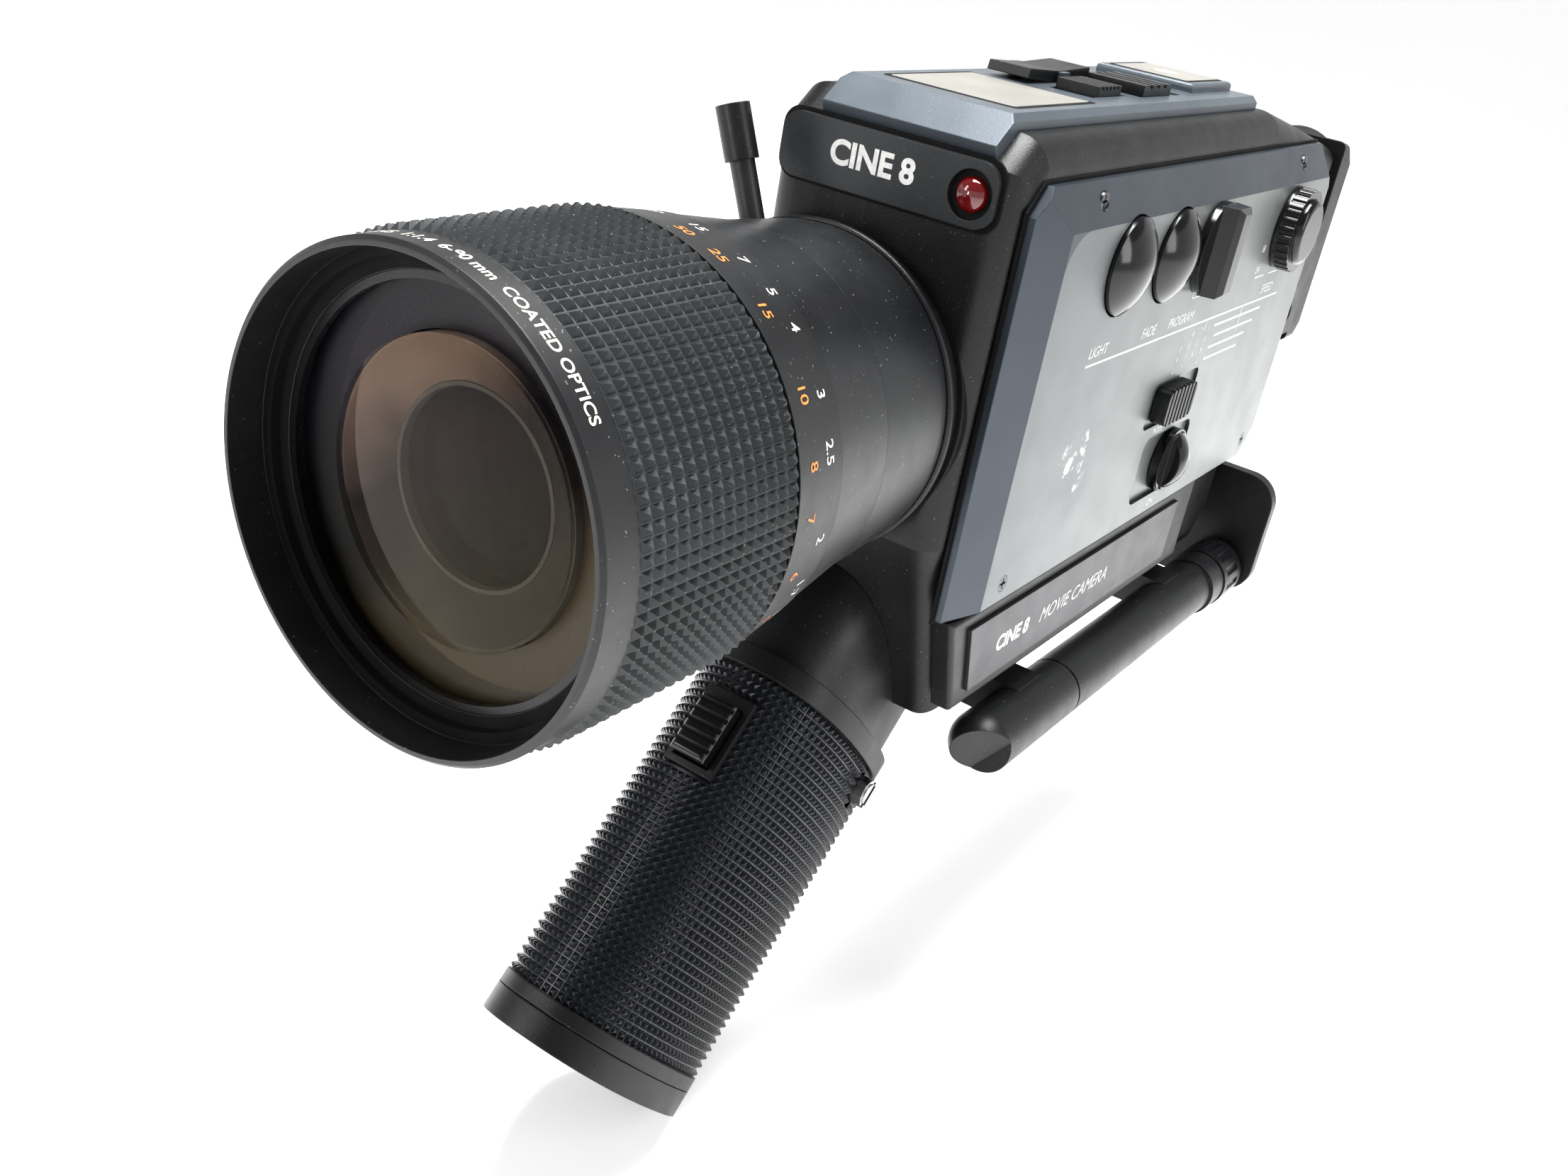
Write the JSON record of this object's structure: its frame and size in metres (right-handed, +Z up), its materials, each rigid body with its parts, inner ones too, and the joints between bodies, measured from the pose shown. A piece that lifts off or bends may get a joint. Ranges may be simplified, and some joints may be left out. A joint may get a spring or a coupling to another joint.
{
  "type": "cine camera",
  "caption": "Small-gauge film camera with a large zoom lens, slanted pistol grip with trigger, side control panel and pull-out shoulder brace.",
  "frame": {"origin": "mouth of the tripod socket in the underside of the body", "axes": "-Y is the way the lens points, +X is the control-panel side, +Z is up"},
  "size_m": [0.093, 0.354, 0.225],
  "materials": {
    "black_plastic": "fine matt grain",
    "black_anodised": "satin black anodised",
    "black_rubber": "moulded pyramids, matt",
    "slate_paint": "satin slate grey",
    "grey_cover": "satin blue grey",
    "gloss_black": "polished black",
    "dark_plate": "satin dark grey with white lettering",
    "lens_glass": "multicoated, pink and amber reflections",
    "red_lamp": "clear red dome",
    "chrome": "polished",
    "steel": "machined",
    "brass": "machined",
    "board_green": "solder mask",
    "cell_wrap": "printed sleeve"
  },
  "bodies": {
    "camera_body": {"door_side_shell": "black_plastic", "control_side_shell": "black_plastic", "top_cover": "grey_cover", "rear_frame": "black_plastic", "control_panel": "slate_paint", "side_name_plate": "dark_plate", "front_name_plate": "dark_plate", "led_lamp": "red_lamp", "socket_block": "black_plastic", "casing_screws": "steel", "tripod_bush": "steel", "lens_barrel": "black_anodised", "index_ring": "black_anodised", "iris_diaphragm": "steel", "rear_lens_group": "lens_glass", "film_chamber": "steel", "drive_motor": "steel", "beam_splitter": "lens_glass", "viewfinder_tube": "black_plastic", "eyepiece_barrel": "black_plastic", "eyepiece_lens": "lens_glass", "eyecup": "black_rubber", "circuit_board": "board_green", "door_hinge_pin": "steel", "grip_core": "black_plastic", "grip_sleeve": "black_rubber", "trigger_bezel": "black_plastic", "strap_stud": "chrome", "battery_cells": "cell_wrap", "battery_contacts": "brass", "brace_tube": "black_anodised"},
    "focus_unit": {"focus_barrel": "black_anodised", "focus_rubber": "black_rubber", "front_retaining_ring": "black_anodised", "front_lens_group": "lens_glass"},
    "zoom_unit": {"zoom_ring": "black_anodised", "zoom_lever": "black_anodised", "zoom_lever_sleeve": "gloss_black"},
    "zoom_carriage": {"zoom_lens_group": "lens_glass"},
    "diopter": {"diopter_ring": "black_plastic"},
    "backlight": {"backlight_button": "gloss_black"},
    "fade": {"fade_button": "gloss_black"},
    "program": {"program_lever": "gloss_black"},
    "dial": {"serrated_dial": "gloss_black"},
    "speed_slider": {"slide_switch": "black_plastic"},
    "rotary": {"rotary_switch": "gloss_black"},
    "rocker": {"zoom_rocker": "black_plastic"},
    "top_key": {"top_slide_key": "black_plastic"},
    "top_switch": {"top_slide_switch": "black_plastic"},
    "door": {"film_door": "slate_paint"},
    "latch": {"door_latch": "black_plastic"},
    "trigger_body": {"trigger": "gloss_black"},
    "cap": {"grip_cap": "black_plastic"},
    "brace_extension": {"brace_rod": "black_anodised"},
    "lock_collar": {"brace_collar": "black_plastic"},
    "pad": {"shoulder_pad": "black_plastic"},
    "shutter_unit": {"shutter_disc": "steel", "shutter_gear": "brass"},
    "pinion": {"motor_pinion": "brass"},
    "spindle": {"takeup_spindle": "black_plastic"}
  },
  "joints": [
    {"name": "focus_turn", "type": "hinge", "parent": "camera_body", "child": "focus_unit", "pos_m": [-0.0075, -0.17, 0.072], "axis": [0, 1, 0], "range_deg": [0, 200]},
    {"name": "zoom_turn", "type": "hinge", "parent": "camera_body", "child": "zoom_unit", "pos_m": [-0.0075, -0.107, 0.072], "axis": [0, 1, 0], "range_deg": [-60, 45]},
    {"name": "zoom_carriage_slide", "type": "slide", "parent": "camera_body", "child": "zoom_carriage", "axis": [0, 1, 0], "range_m": [-0.0085, 0.0065]},
    {"name": "diopter_turn", "type": "hinge", "parent": "camera_body", "child": "diopter", "pos_m": [0.006, 0.1345, 0.1025], "axis": [0, 1, 0], "range_deg": [-60, 60]},
    {"name": "backlight_press", "type": "slide", "parent": "camera_body", "child": "backlight", "axis": [-1, 0, 0], "range_m": [0, 0.0018], "stiffness_N_per_m": 500, "springref_m": -0.0006},
    {"name": "fade_press", "type": "slide", "parent": "camera_body", "child": "fade", "axis": [-1, 0, 0], "range_m": [0, 0.0018], "stiffness_N_per_m": 500, "springref_m": -0.0006},
    {"name": "program_turn", "type": "hinge", "parent": "camera_body", "child": "program", "pos_m": [0.036, 0.0104, 0.101], "axis": [1, 0, 0], "range_deg": [-45, 45]},
    {"name": "dial_turn", "type": "hinge", "parent": "camera_body", "child": "dial", "pos_m": [0.036, 0.068, 0.1005], "axis": [1, 0, 0], "range_deg": [-150, 150]},
    {"name": "speed_slide", "type": "slide", "parent": "camera_body", "child": "speed_slider", "axis": [0, 1, 0], "range_m": [0, 0.006]},
    {"name": "rotary_turn", "type": "hinge", "parent": "camera_body", "child": "rotary", "pos_m": [0.034, 0.023, 0.0448], "axis": [1, 0, 0], "range_deg": [-35, 35]},
    {"name": "zoom_rock", "type": "hinge", "parent": "camera_body", "child": "rocker", "pos_m": [-0.0064, -0.0195, 0.1326], "axis": [1, 0, 0], "range_deg": [-2.5, 2.5], "stiffness_Nm_per_rad": 0.3},
    {"name": "top_key_slide", "type": "slide", "parent": "camera_body", "child": "top_key", "axis": [0, 1, 0], "range_m": [-0.002, 0.002]},
    {"name": "top_switch_slide", "type": "slide", "parent": "camera_body", "child": "top_switch", "axis": [0, 1, 0], "range_m": [0, 0.006]},
    {"name": "door_swing", "type": "hinge", "parent": "camera_body", "child": "door", "pos_m": [-0.0302, -0.042, 0.065], "axis": [0, 0, 1], "range_deg": [0, 105]},
    {"name": "latch_slide", "type": "slide", "parent": "door", "child": "latch", "axis": [0, 1, 0], "range_m": [0, 0.0035], "stiffness_N_per_m": 200, "springref_m": -0.001},
    {"name": "trigger_pull", "type": "slide", "parent": "camera_body", "child": "trigger_body", "axis": [0, 0.7009, -0.7133], "range_m": [0, 0.0028], "stiffness_N_per_m": 800, "springref_m": -0.0008},
    {"name": "cap_swing", "type": "hinge", "parent": "camera_body", "child": "cap", "pos_m": [-0.001, -0.11805, -0.08739], "axis": [1, 0, 0], "range_deg": [0, 95]},
    {"name": "brace_slide", "type": "slide", "parent": "camera_body", "child": "brace_extension", "axis": [0, 1, 0], "range_m": [0, 0.1]},
    {"name": "collar_turn", "type": "hinge", "parent": "camera_body", "child": "lock_collar", "pos_m": [0.0335, 0.0913, -0.008], "axis": [0, 1, 0], "range_deg": [0, 90]},
    {"name": "pad_swivel", "type": "hinge", "parent": "brace_extension", "child": "pad", "pos_m": [0.0335, 0.103, -0.008], "axis": [0, 1, 0], "range_deg": [-90, 0]},
    {"name": "shutter_spin", "type": "hinge", "parent": "camera_body", "child": "shutter_unit", "pos_m": [0.001, -0.01, 0.055], "axis": [0, 1, 0], "continuous": true},
    {"name": "pinion_spin", "type": "hinge", "parent": "camera_body", "child": "pinion", "pos_m": [0.001, -0.016, 0.0381], "axis": [0, 1, 0], "continuous": true},
    {"name": "spindle_spin", "type": "hinge", "parent": "camera_body", "child": "spindle", "pos_m": [0.004, 0.048, 0.0585], "axis": [1, 0, 0], "continuous": true}
  ],
  "couplings": [
    {"joint": "zoom_carriage_slide", "follows": "zoom_turn", "m_per_rad": 0.008},
    {"joint": "pinion_spin", "follows": "shutter_spin", "ratio": -3.2},
    {"joint": "spindle_spin", "follows": "shutter_spin", "ratio": 0.05}
  ]
}
